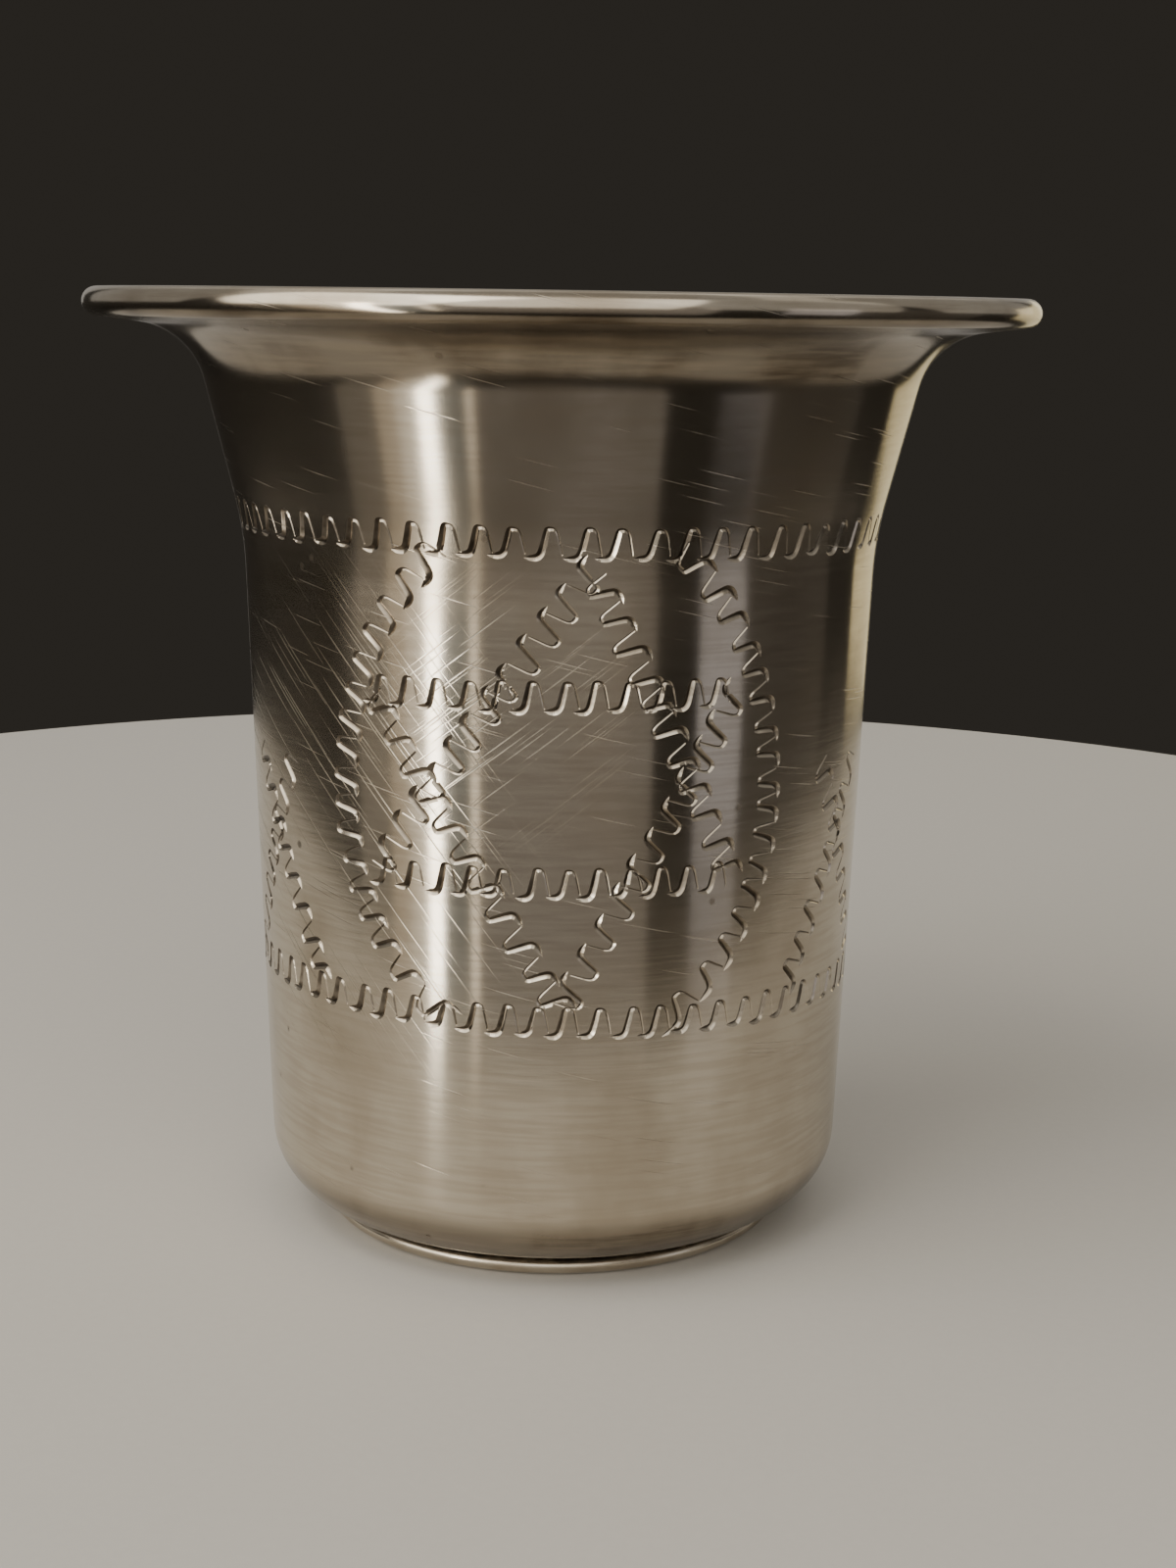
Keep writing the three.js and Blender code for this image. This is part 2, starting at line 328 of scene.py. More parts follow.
def arc_rows(centre, radius, start_angle, end_angle, steps):
    turn = math.copysign(1, end_angle - start_angle)
    rows = []
    for step in range(steps + 1):
        angle = start_angle + (end_angle - start_angle) * step / steps
        heading = Vector((math.cos(angle), math.sin(angle)))
        rows.append((centre + heading * radius, heading * turn))
    return rows


class BeakerSection:
    """The beaker's section, worked out from its sizes with arcs that run on from straight walls."""

    def __init__(self, sizes):
        self.sizes = sizes
        self.corner_centre = Vector((
            sizes.low_wall_radius - sizes.corner_radius,
            sizes.base_height + sizes.corner_radius,
        ))
        self.wall_start = self.corner_centre + across(sizes.wall_taper) * sizes.corner_radius
        self.waist_start = along(self.wall_start, sizes.wall_taper, sizes.waist_height)
        self.waist_centre = self.waist_start + across(sizes.wall_taper) * sizes.waist_arc_radius
        self.waist_end = self.waist_centre - across(sizes.neck_taper) * sizes.waist_arc_radius
        flare_start = along(self.waist_end, sizes.neck_taper, sizes.flare_height)
        self.flare_centre = flare_start + across(sizes.neck_taper) * sizes.flare_arc_radius
        self.bead_radius = self.find_bead_radius()
        self.bead_centre = Vector((
            sizes.rim_radius - self.bead_radius,
            sizes.height - self.bead_radius,
        ))

    def find_bead_radius(self):
        """The bead that touches the cup's height and rim radius and runs on from the lip's underside."""
        rest = Vector((self.sizes.rim_radius, self.sizes.height)) - self.lip_start(0)
        down = across(self.sizes.lip_taper)
        return -rest.dot(down) / (1 - down.x - down.y)

    def wall_radius(self, height):
        if height <= self.waist_start.y:
            return along(self.wall_start, self.sizes.wall_taper, height).x
        if height <= self.waist_end.y:
            rise = height - self.waist_centre.y
            return self.waist_centre.x - math.sqrt(self.sizes.waist_arc_radius ** 2 - rise ** 2)
        return along(self.waist_end, self.sizes.neck_taper, height).x

    def wall_lean(self, height):
        if height <= self.waist_start.y:
            return self.sizes.wall_taper
        if height <= self.waist_end.y:
            return math.asin((height - self.waist_centre.y) / self.sizes.waist_arc_radius)
        return self.sizes.neck_taper

    def on_wall(self, height):
        return Vector((self.wall_radius(height), height))

    def lip_start(self, inset):
        """Where the flat lip starts, on the outer face or set in from it."""
        return self.flare_centre - across(self.sizes.lip_taper) * (self.sizes.flare_arc_radius + inset)

    def below_engraving(self, top):
        """The underside of the base, the lower corner and the plain foot of the wall."""
        sizes = self.sizes
        base_middle = Vector((0, sizes.base_height))
        base_edge = Vector((self.corner_centre.x, sizes.base_height))
        return [
            straight_rows(base_middle, base_edge, steps=4),
            arc_rows(self.corner_centre, sizes.corner_radius, -math.pi / 2, -sizes.wall_taper, steps=20),
            straight_rows(self.wall_start, self.on_wall(top), steps=4),
        ]

    def above_engraving(self, bottom):
        """The neck, the trumpet lip and the rolled bead, over the top to the inside of the lip."""
        sizes = self.sizes
        bead_start = self.bead_centre + across(sizes.lip_taper) * self.bead_radius
        bead_end = self.bead_foot() - self.bead_centre
        end_angle = math.atan2(bead_end.y, bead_end.x) % (2 * math.pi)
        return [
            straight_rows(self.on_wall(bottom), self.on_wall(sizes.flare_height), steps=3),
            arc_rows(
                self.flare_centre, sizes.flare_arc_radius,
                math.pi - sizes.neck_taper, math.pi - sizes.lip_taper, steps=28,
            ),
            straight_rows(self.lip_start(0), bead_start, steps=4),
            arc_rows(self.bead_centre, self.bead_radius, -sizes.lip_taper, end_angle, steps=44),
        ]

    def bead_foot(self):
        """Where the bead ends on the inner face of the lip."""
        lean = self.sizes.lip_taper
        depth = self.bead_radius - self.sizes.wall
        reach = math.sqrt(self.bead_radius ** 2 - depth ** 2)
        return self.bead_centre + across(lean) * depth - Vector((math.sin(lean), math.cos(lean))) * reach

    def inside(self):
        """The inner face from the bead down to the middle of the floor."""
        sizes = self.sizes
        inset = sizes.wall
        waist = sizes.waist_arc_radius + inset
        waist_top = self.waist_centre - across(sizes.neck_taper) * waist
        waist_bottom = self.waist_centre - across(sizes.wall_taper) * waist
        flare = sizes.flare_arc_radius + inset
        flare_bottom = self.flare_centre - across(sizes.neck_taper) * flare
        corner = sizes.corner_radius - inset
        corner_top = self.corner_centre + across(sizes.wall_taper) * corner
        floor_edge = self.corner_centre - Vector((0, corner))
        return [
            straight_rows(self.bead_foot(), self.lip_start(inset), steps=3),
            arc_rows(
                self.flare_centre, flare, math.pi - sizes.lip_taper, math.pi - sizes.neck_taper, steps=20
            ),
            straight_rows(flare_bottom, waist_top, steps=3),
            arc_rows(
                self.waist_centre, waist, math.pi - sizes.neck_taper, math.pi - sizes.wall_taper, steps=8
            ),
            straight_rows(waist_bottom, corner_top, steps=4),
            arc_rows(self.corner_centre, corner, -sizes.wall_taper, -math.pi / 2, steps=14),
            straight_rows(floor_edge, Vector((0, floor_edge.y)), steps=4),
        ]


def ring_section(sizes):
    """The wire's section: a flat to stand on, a round outer side and a flat top against the base."""
    inner = sizes.radius - sizes.width
    middle = sizes.height / 2
    round_width = sizes.width - sizes.standing_width
    side_steps = 24
    side = []
    for step in range(side_steps + 1):
        angle = math.radians(-90 + 180 * step / side_steps)
        point = Vector((
            inner + sizes.standing_width + round_width * math.cos(angle),
            middle + middle * math.sin(angle),
        ))
        normal = Vector((math.cos(angle) / round_width, math.sin(angle) / middle)).normalized()
        side.append((point, normal))
    inner_low = Vector((inner, 0))
    inner_high = Vector((inner, sizes.height))
    return [
        straight_rows(inner_low, side[0][0], steps=1),
        side,
        straight_rows(side[-1][0], inner_high, steps=1),
        straight_rows(inner_high, inner_low, steps=2),
    ]


# Meshes with a normal and a share of dirt and painted shade of their own at each face corner


def round_axis(angle, radius, height):
    """A point at an angle from the front, positive towards +X."""
    return Vector((radius * math.sin(angle), -radius * math.cos(angle), height))


class Shell:
    """Points, faces, corner normals and corner shares of dirt and painted shade gathered for one mesh."""

    def __init__(self, columns):
        self.columns = columns
        self.points = []
        self.faces = []
        self.normals = []
        self.dirt_and_shade = []
        self.rings = {}

    def add_point(self, point):
        self.points.append(point)
        return len(self.points) - 1

    def add_face(self, corners, normals, dirt_and_shade=None):
        self.faces.append(corners)
        self.normals.extend(normals)
        self.dirt_and_shade.extend(dirt_and_shade or [0.0] * len(corners))

    def angle(self, column):
        return 2 * math.pi * column / self.columns

    def ring(self, point):
        """The points of one ring. A ring that is already there is used again."""
        key = (round(point.x, RING_DECIMALS), round(point.y, RING_DECIMALS))
        if key not in self.rings:
            if point.x < AXIS_REACH:
                self.rings[key] = [self.add_point(Vector((0, 0, point.y)))] * self.columns
            else:
                self.rings[key] = [
                    self.add_point(round_axis(self.angle(column), point.x, point.y))
                    for column in range(self.columns)
                ]
        return self.rings[key]

    def turn(self, rows):
        """Faces between the rings of one smooth stretch of the section."""
        for (low, low_normal), (high, high_normal) in zip(rows, rows[1:]):
            self.turn_row(self.ring(low), low_normal, self.ring(high), high_normal)

    def turn_row(self, low_ring, low_normal, high_ring, high_normal):
        for column in range(self.columns):
            after = (column + 1) % self.columns
            corners = [
                (low_ring[column], round_axis(self.angle(column), *low_normal)),
                (low_ring[after], round_axis(self.angle(after), *low_normal)),
                (high_ring[after], round_axis(self.angle(after), *high_normal)),
                (high_ring[column], round_axis(self.angle(column), *high_normal)),
            ]
            kept = [corner for place, corner in enumerate(corners) if corner[0] != corners[place - 1][0]]
            self.add_face([point for point, _ in kept], [normal for _, normal in kept])

    def make_object(self, name):
        mesh = bpy.data.meshes.new(name)
        mesh.from_pydata(self.points, [], self.faces)
        mesh.polygons.foreach_set("use_smooth", [True] * len(mesh.polygons))
        dirt_and_shade = mesh.attributes.new("dirt_and_shade", "FLOAT", "CORNER")
        dirt_and_shade.data.foreach_set("value", self.dirt_and_shade)
        mesh.normals_split_custom_set(self.normals)
        mesh.update()
        piece = bpy.data.objects.new(name, mesh)
        bpy.context.scene.collection.objects.link(piece)
        return piece


# Engraved lines: each is a function of a share from 0 to 1 that gives (angle, height)


def band_line(height, lean, start, radius):
    def place(part):
        angle = start + part * 2 * math.pi
        return angle, height + lean * radius * math.sin(angle)
    return place


def straight_line(start, end):
    def place(part):
        degrees = start[0] + (end[0] - start[0]) * part
        height = start[1] + (end[1] - start[1]) * part
        return math.radians(degrees), height * MM
    return place


def medallion_line(sizes, radius, middle, side):
    """One side of a medallion between the bands: two arcs that meet at its widest place."""
    def place(part):
        height = sizes.lower_band_height + (sizes.upper_band_height - sizes.lower_band_height) * part
        rise = height - sizes.medallion_height
        arc = sizes.medallion_upper_radius if rise > 0 else sizes.medallion_lower_radius
        reach = sizes.medallion_half_width - arc + math.sqrt(arc ** 2 - rise ** 2)
        return math.radians(middle) + side * reach / radius, height
    return place


def flank_line(sizes, middle, side):
    def place(part):
        low = math.radians(middle) + side * sizes.flank_low_spread
        high = math.radians(middle) - side * sizes.flank_high_spread
        return low + (high - low) * part, sizes.flank_low + (sizes.flank_high - sizes.flank_low) * part
    return place


def engraved_lines(sizes, radius):
    """Every engraved line."""
    lines = [
        band_line(sizes.upper_band_height, sizes.upper_band_lean, sizes.upper_band_start, radius),
        band_line(sizes.lower_band_height, sizes.lower_band_lean, sizes.lower_band_start, radius),
    ]
    for corners in (STAR_POINT_UP, STAR_POINT_DOWN):
        for place, corner in enumerate(corners):
            lines.append(straight_line(corners[place - 1], corner))
    for middle in MEDALLION_MIDDLES:
        lines.append(medallion_line(sizes, radius, middle, -1))
        lines.append(medallion_line(sizes, radius, middle, 1))
    for middle in FLANK_MIDDLES:
        lines.append(flank_line(sizes, middle, -1))
        lines.append(flank_line(sizes, middle, 1))
    return lines


def line_length(line, radius):
    places = np.array([line(part) for part in np.linspace(0, 1, LINE_SAMPLES)])
    steps = np.diff(places, axis=0) * (radius, 1)
    return np.hypot(steps[:, 0], steps[:, 1]).sum()


def smooth_through(points, steps):
    """A curve through the points, with a number of steps from each to the next."""
    padded = np.vstack([2 * points[0] - points[1], points, 2 * points[-1] - points[-2]])
    curve = []
    for before, start, end, after in zip(padded, padded[1:], padded[2:], padded[3:]):
        for part in np.arange(steps) / steps:
            pull = (
                2 * start
                + (end - before) * part
                + (2 * before - 5 * start + 4 * end - after) * part ** 2
                + (3 * start - before - 3 * end + after) * part ** 3
            )
            curve.append(pull / 2)
    curve.append(points[-1])
    return np.array(curve)


def beside(line, radius, part, reach):
    """The place at a distance beside a line, as (distance round the wall, height)."""
    place = np.array(line(part)) * (radius, 1)
    nearby = np.array(line(part + HEADING_STEP)) * (radius, 1)
    heading = (nearby - place) / np.linalg.norm(nearby - place)
    return place[0] - heading[1] * reach, place[1] + heading[0] * reach


def strokes_along(line, sizes, radius, seed):
    """The strokes of one line. Each is an array of (distance round the wall, height, half width)."""
    hand = random.Random(seed)
    steps = round(line_length(line, radius) / sizes.stroke_step)
    strokes = []
    for step in range(steps):
        shift = hand.uniform(-1, 1) * sizes.unevenness
        swing = sizes.stroke_swing * (1 + hand.uniform(-1, 1) * sizes.unevenness)
        width = sizes.cut_width / 2 * (1 + hand.uniform(-1, 1) * sizes.unevenness)
        keys = []
        for ahead, aside, breadth in STROKE_SHAPE:
            part = (step + ahead + shift) / steps
            keys.append((*beside(line, radius, part, swing * aside), width * breadth))
        strokes.append(smooth_through(np.array(keys), STROKE_STEPS))
    return strokes


class CutField:
    """How the wall lies under the cuts: the nearest stroke at each place decides."""

    def __init__(self, strokes, radius):
        self.radius = radius
        self.starts = np.vstack([stroke[:-1] for stroke in strokes])
        self.ends = np.vstack([stroke[1:] for stroke in strokes])
        self.tree = KDTree(len(self.starts))
        for index, (around, height, _) in enumerate((self.starts + self.ends) / 2):
            self.tree.insert(round_axis(around / radius, radius, height), index)
        self.tree.balance()

    def nearest(self, places):
        """For places (distance round, height): the way from the nearest stroke, and what is left of
        the cut's half width there, which is negative on bare wall."""
        found = np.array([
            self.tree.find(round_axis(around / self.radius, self.radius, height))[1]
            for around, height in places
        ])
        best_way = np.zeros_like(places)
        best_left = np.full(len(places), -np.inf)
        for step in (-1, 0, 1):
            index = np.clip(found + step, 0, len(self.starts) - 1)
            way, left = self.from_segment(places, index)
            better = left > best_left
            best_way[better] = way[better]
            best_left[better] = left[better]
        return best_way, best_left

    def from_segment(self, places, index):
        start, end = self.starts[index], self.ends[index]
        offset = places - start[:, :2]
        turn = 2 * math.pi * self.radius
        offset[:, 0] -= turn * np.round(offset[:, 0] / turn)
        run = end[:, :2] - start[:, :2]
        part = np.clip((offset * run).sum(1) / (run * run).sum(1), 0, 1)
        way = offset - run * part[:, None]
        width = start[:, 2] + (end[:, 2] - start[:, 2]) * part
        return way, width - np.hypot(way[:, 0], way[:, 1])


class EngravedWall:
    """The engraved stretch of wall, as triangles whose edges follow every cut.

    The wall is unrolled to (distance round, height), and laid out as a flat ring for triangulation,
    so it has no seam."""

    def __init__(self, section, sizes, shell):
        self.section = section
        self.sizes = sizes
        self.shell = shell
        self.radius = section.wall_radius((sizes.zone_low + sizes.zone_high) / 2)
        self.slope = sizes.cut_depth / (sizes.cut_width / 2)
        self.flat = []
        self.edges = []
        self.kept_rings = {}
        lines = engraved_lines(sizes, self.radius)
        self.strokes = [
            stroke
            for seed, line in enumerate(lines)
            for stroke in strokes_along(line, sizes, self.radius, seed)
        ]
        self.field = CutField(self.strokes, self.radius)

    def lay_flat(self, around, height):
        angle = around / self.radius
        reach = math.exp((height - self.sizes.zone_low) / self.radius)
        return Vector((reach * math.cos(angle), reach * math.sin(angle)))

    def roll_up(self, flat):
        around = np.arctan2(flat[:, 1], flat[:, 0]) * self.radius
        height = self.sizes.zone_low + self.radius * np.log(np.hypot(flat[:, 0], flat[:, 1]))
        return np.column_stack([around, height])

    def add_path(self, path, closed):
        first = len(self.flat)
        self.flat.extend(self.lay_flat(around, height) for around, height in path)
        last = len(self.flat) - 1
        self.edges.extend((index, index + 1) for index in range(first, last))
        if closed:
            self.edges.append((last, first))

    def add_end_rings(self):
        """The two rings where the engraved stretch meets the turned ones."""
        for height in (self.sizes.zone_low, self.sizes.zone_high):
            ring = self.shell.ring(self.section.on_wall(height))
            for column, point in enumerate(ring):
                self.kept_rings[len(self.flat) + column] = point
            arounds = [self.shell.angle(column) * self.radius for column in range(self.shell.columns)]
            self.add_path([(around, height) for around in arounds], True)

    def add_cuts(self):
        for stroke in self.strokes:
            run = np.gradient(stroke[:, :2], axis=0)
            run /= np.linalg.norm(run, axis=1)[:, None]
            aside = np.column_stack([-run[:, 1], run[:, 0]]) * stroke[:, 2:]
            middle = stroke[:, :2]
            tip = middle[0] - run[0] * stroke[0, 2]
            tail = middle[-1] + run[-1] * stroke[-1, 2]
            outline = np.vstack([tip, middle + aside, tail, (middle - aside)[::-1]])
            self.add_path(outline, True)
            self.add_path(middle, False)

    def add_plain_points(self):
        """Staggered points on bare wall, clear of the cuts and of the end rings."""
        sizes = self.sizes
        columns = round(2 * math.pi * self.radius / sizes.plain_step)
        rows = round((sizes.zone_high - sizes.zone_low) / (sizes.plain_step * math.sqrt(3) / 2))
        places = np.array([
            (
                2 * math.pi * self.radius * (column + 0.5 * (row % 2)) / columns,
                sizes.zone_low + (sizes.zone_high - sizes.zone_low) * row / rows,
            )
            for row in range(1, rows)
            for column in range(columns)
        ])
        _, left = self.field.nearest(places)
        clear = places[left < -CUT_CLEARANCE * sizes.plain_step]
        self.flat.extend(self.lay_flat(around, height) for around, height in clear)

    def build(self):
        self.add_end_rings()
        self.add_cuts()
        self.add_plain_points()
        flat, _, faces, sources, _, _ = delaunay_2d_cdt(
            self.flat, self.edges, [], WHOLE_HULL, MERGE_DISTANCE
        )
        places = self.roll_up(np.array([tuple(point) for point in flat]))
        _, left = self.field.nearest(places)
        depths = self.slope * np.maximum(left, 0)
        points = [
            self.point_for(place, depth, source)
            for place, depth, source in zip(places, depths, sources)
        ]
        self.add_faces(np.array(faces), np.array(points), places)

    def point_for(self, place, depth, source):
        """The mesh point for a triangulated one: a ring's own point, or a new one sunk by the depth."""
        for index in source:
            if index in self.kept_rings:
                return self.kept_rings[index]
        around, height = place
        lean = self.section.wall_lean(height)
        normal = round_axis(around / self.radius, math.cos(lean), -math.sin(lean))
        wall = round_axis(around / self.radius, self.section.wall_radius(height), height)
        return self.shell.add_point(wall - normal * depth)

    def add_faces(self, faces, points, places):
        """Gives bare wall the round wall's normals, and cuts the normals of their sides and a share of dirt
        with painted shade on the side that faces down.
        """
        faces = self.outer_faces(faces, points)
        corners = self.unrolled_corners(faces, places)
        tilts, dirt_and_shade = self.tilts_dirt_and_shade(corners)
        for face, spots, leans, shares in zip(faces, corners, tilts, dirt_and_shade):
            normals = [self.tilted_normal(spot, lean) for spot, lean in zip(spots, leans)]
            self.shell.add_face(points[face].tolist(), normals, shares.tolist())

    def outer_faces(self, faces, points):
        """The triangles turned outwards, without those in the hole of the flat ring."""
        low_ring = set(self.shell.ring(self.section.on_wall(self.sizes.zone_low)))
        turned = faces[:, ::-1]
        return turned[[not low_ring.issuperset(points[face].tolist()) for face in turned]]

    def unrolled_corners(self, faces, places):
        """Each triangle's corners as (distance round, height), none a full turn from the others."""
        corners = places[faces]
        turn = 2 * math.pi * self.radius
        corners[:, :, 0] -= turn * np.round((corners[:, :, 0] - corners[:, :1, 0]) / turn)
        return corners

    def tilts_dirt_and_shade(self, corners):
        """How far each corner's normal tilts, and its share of dirt and painted shade: dirt grows with the
        cut's depth, and painted shade is added on the cut's upper left side. Both are 0 on bare wall.
        """
        middles = corners.mean(1, keepdims=True)
        inside = corners + (middles - corners) * CORNER_INSET
        way, left = self.field.nearest(inside.reshape(-1, 2))
        _, middle_left = self.field.nearest(middles[:, 0])
        in_cut = np.repeat(middle_left > 0, 3) & (left > 0)
        reach = np.maximum(np.hypot(way[:, 0], way[:, 1]), LEAST_REACH)
        tilt = np.where(in_cut, -self.slope / reach, 0)[:, None] * way
        # Painted shade: the cut's upper left side, which faces away from the light above, gets a larger
        # share on top of the dirt that grows with depth
        painted_shade = np.maximum(way @ SHADED_SIDE / reach, 0)
        dirt_and_shade = np.where(in_cut, self.slope * left / self.sizes.cut_depth + painted_shade, 0)
        return tilt.reshape(-1, 3, 2), dirt_and_shade.reshape(-1, 3)

    def tilted_normal(self, place, tilt):
        """The wall's normal at a place, tilted the way that the side of a cut slopes."""
        around, height = place
        angle = around / self.radius
        lean = self.section.wall_lean(height)
        normal = round_axis(angle, math.cos(lean), -math.sin(lean))
        sideways = Vector((math.cos(angle), math.sin(angle), 0))
        upwards = round_axis(angle, math.sin(lean), math.cos(lean))
        return (normal + sideways * tilt[0] + upwards * tilt[1]).normalized()


def make_beaker_shell(sizes, engraving):
    section = BeakerSection(sizes)
    shell = Shell(sizes.columns)
    below = section.below_engraving(engraving.zone_low)
    above = section.above_engraving(engraving.zone_high)
    for stretch in below + above + section.inside():
        shell.turn(stretch)
    EngravedWall(section, engraving, shell).build()
    return shell


# Materials


class Value:
    """A node's output that takes part in Python arithmetic: each operation adds a Math node."""

    def __init__(self, bench, socket):
        self.bench = bench
        self.socket = socket

    def math(self, operation, first, second):
        return self.bench.node("ShaderNodeMath", {"operation": operation}, {0: first, 1: second})

    def __add__(self, other):
        return self.math("ADD", self, other)

    __radd__ = __add__

    def __sub__(self, other):
        return self.math("SUBTRACT", self, other)

    def __rsub__(self, other):
        return self.math("SUBTRACT", other, self)

    def __mul__(self, other):
        return self.math("MULTIPLY", self, other)

    __rmul__ = __mul__


class Bench:
    """The nodes of one material."""

    def __init__(self, name):
        self.material = bpy.data.materials.new(name)
        self.material.use_nodes = True
        self.tree = self.material.node_tree
        self.shader = self.tree.nodes["Principled BSDF"]

    def node(self, kind, settings, inputs, output=0):
        """Adds a node: its settings first, then what its sockets hold or are linked to."""
        made = self.tree.nodes.new(kind)
        for name, setting in settings.items():
            setattr(made, name, setting)
        for name, source in inputs.items():
            self.feed(made.inputs[name], source)
        return Value(self, made.outputs[output])

    def feed(self, socket, source):
        if isinstance(source, Value):
            self.tree.links.new(source.socket, socket)
        else:
            socket.default_value = source

    def finish(self, **sockets):
        for name, source in sockets.items():
            self.feed(self.shader.inputs[name.replace("_", " ")], source)
        return self.material

    def place(self):
        """The object's own coordinates in millimetres."""
        coordinates = self.node("ShaderNodeTexCoord", {}, {}, "Object")
        return self.scaled(coordinates, (1000, 1000, 1000))

    def scaled(self, vector, factors):
        return self.node("ShaderNodeVectorMath", {"operation": "MULTIPLY"}, {0: vector, 1: factors})

    def upward(self, vector):
        """The upward part of a vector."""
        return self.node("ShaderNodeSeparateXYZ", {}, {"Vector": vector}, "Z")

    def noise(self, place, cells, detail):
        """Soft noise from 0 to 1, with so many cells to a millimetre along each axis."""
        vector = self.scaled(place, cells)
        return self.node(
            "ShaderNodeTexNoise", {}, {"Vector": vector, "Scale": 1.0, "Detail": detail}, "Fac"
        )

    def cell_distance(self, place, cells):
        """Distance from the middle of the nearest of scattered cells, so many to a millimetre."""
        vector = self.scaled(place, cells)
        return self.node("ShaderNodeTexVoronoi", {}, {"Vector": vector, "Scale": 1.0}, "Distance")

    def bump(self, relief):
        """The normal of a face with a relief in millimetres."""
        return self.node(
            "ShaderNodeBump", {}, {"Strength": 1.0, "Distance": MM, "Height": relief}, "Normal"
        )

    def ramp(self, source, low, high, low_value=0.0, high_value=1.0):
        """Goes smoothly from one value to another as the source goes from low to high."""
        return self.node(
            "ShaderNodeMapRange", {"interpolation_type": "SMOOTHSTEP"},
            {"Value": source, "From Min": low, "From Max": high, "To Min": low_value, "To Max": high_value},
        )

    def mix(self, factor, first, second):
        return self.node(
            "ShaderNodeMix", {"data_type": "RGBA"},
            {"Factor": factor, 6: self.full(first), 7: self.full(second)}, 2,
        )

    def full(self, paint):
        return paint if isinstance(paint, Value) else (*paint, 1.0)


def hairlines(bench, place, degrees, along_cells, across_cells, reach):
    """Fine straight scratches that run one way: thin cells that are stretched that way."""
    turned = bench.node(
        "ShaderNodeVectorRotate", {"rotation_type": "Y_AXIS"},
        {"Vector": place, "Angle": math.radians(degrees)},
    )
    distance = bench.cell_distance(turned, (along_cells, along_cells, across_cells))
    full_depth = 0.3 * reach
    return bench.ramp(distance, full_depth, reach, 1.0, 0.0)


def patch(bench, place, centre, reach):
    """A soft round patch round a point in millimetres: 1 in the middle and 0 at its reach."""
    distance = bench.node("ShaderNodeVectorMath", {"operation": "DISTANCE"}, {0: place, 1: centre}, "Value")
    full_reach = 0.2 * reach
    return bench.ramp(distance, full_reach, reach, 1.0, 0.0)


def all_scratches(bench, place):
    """Rubs on the left and over the star, and stray scratches all over."""
    left_rubs = hairlines(bench, place, *LEFT_RUBS) * patch(bench, place, *LEFT_PATCH)
    star_rubs = hairlines(bench, place, *STAR_RUBS) * patch(bench, place, *STAR_PATCH)
    stray = hairlines(bench, place, *STRAY_SCRATCHES)
    return left_rubs + star_rubs * 0.8 + stray * 0.6


def dark_specks(bench, place):
    """Small dark spots in the middles of scattered cells."""
    return bench.ramp(bench.cell_distance(place, SPECK_CELLS), 0.03, 0.065, 0.6, 0.0)


def caught_dirt_and_shade(bench, place):
    """How much dirt there is in the cuts, with painted shade added on their upper left sides, and at the
    joint with the foot ring.
    """
    grit = bench.noise(place, DIRT_GRIT, detail=3.0)
    cut = bench.node("ShaderNodeAttribute", {"attribute_name": "dirt_and_shade"}, {}, "Fac")
    # The cut share is real dirt deep in the cuts plus painted shade on their upper left sides
    cut_dirt_and_shade = bench.ramp(cut, 0.35, 1.1) * bench.ramp(grit, 0.35, 0.65, 0.65, 0.95)
    joint_dirt = bench.ramp(bench.upward(place), 1.7, 2.1, 1.0, 0.0) * bench.ramp(grit, 0.46, 0.62)
    return cut_dirt_and_shade, joint_dirt


def tarnished_and_shaded_silver(bench, film, spun, finish):
    """Silver's colour under its brown film, with painted shade where the body faces down: under the lip, at
    the lower corner and on the upper sides of the cuts.
    """
    facing = bench.node("ShaderNodeNewGeometry", {}, {}, "Normal")
    # Painted shade: faces that point down are darkened, and the film only changes how strongly
    overhang = bench.ramp(bench.upward(facing), -0.50, -0.08, 1.0, 0.0)
    painted_shade = overhang * bench.ramp(film, 0.0, 1.0, 0.7, 1.0)
    clean = bench.mix(film * 0.7, finish.silver, finish.tarnish)
    toned = bench.mix(painted_shade, clean, finish.dark_tarnish_and_shade)
    return bench.mix(bench.ramp(spun, 0.38, 0.66) * 0.35, toned, finish.tarnish)


def spun_silver(finish):
    """Polished silver with spun lines, hairline scratches, a thin film of tarnish, dirty cuts, and painted
    shade on the cuts' upper sides and on faces that point down.
    """
    bench = Bench("spun_silver")
    place = bench.place()
    spun = bench.noise(place, SPUN_LINES, detail=4.0)
    dents = bench.noise(place, SOFT_DENTS, detail=1.0)
    film = bench.ramp(bench.noise(place, TARNISH_CLOUDS, detail=5.0), 0.38, 0.75)
    scratches = all_scratches(bench, place)
    specks = dark_specks(bench, place)
    cut_dirt_and_shade, joint_dirt = caught_dirt_and_shade(bench, place)
    tarnished_and_shaded = tarnished_and_shaded_silver(bench, film, spun, finish)
    speckled = bench.mix(specks, tarnished_and_shaded, finish.dark_tarnish_and_shade)
    darkened = bench.mix(cut_dirt_and_shade, speckled, finish.grime_and_shade)
    grimy = bench.mix(joint_dirt, darkened, finish.grime_and_shade)
    relief = spun * SPUN_DEPTH + dents * DENT_DEPTH - scratches * SCRATCH_DEPTH
    rough = finish.polish + film * 0.05 + scratches * 0.22 + (specks + joint_dirt + cut_dirt_and_shade) * 0.2
    return bench.finish(
        Base_Color=grimy, Metallic=1.0, Roughness=rough, Normal=bench.bump(relief),
        Anisotropic=finish.grain, Anisotropic_Rotation=GRAIN_TURN,
    )


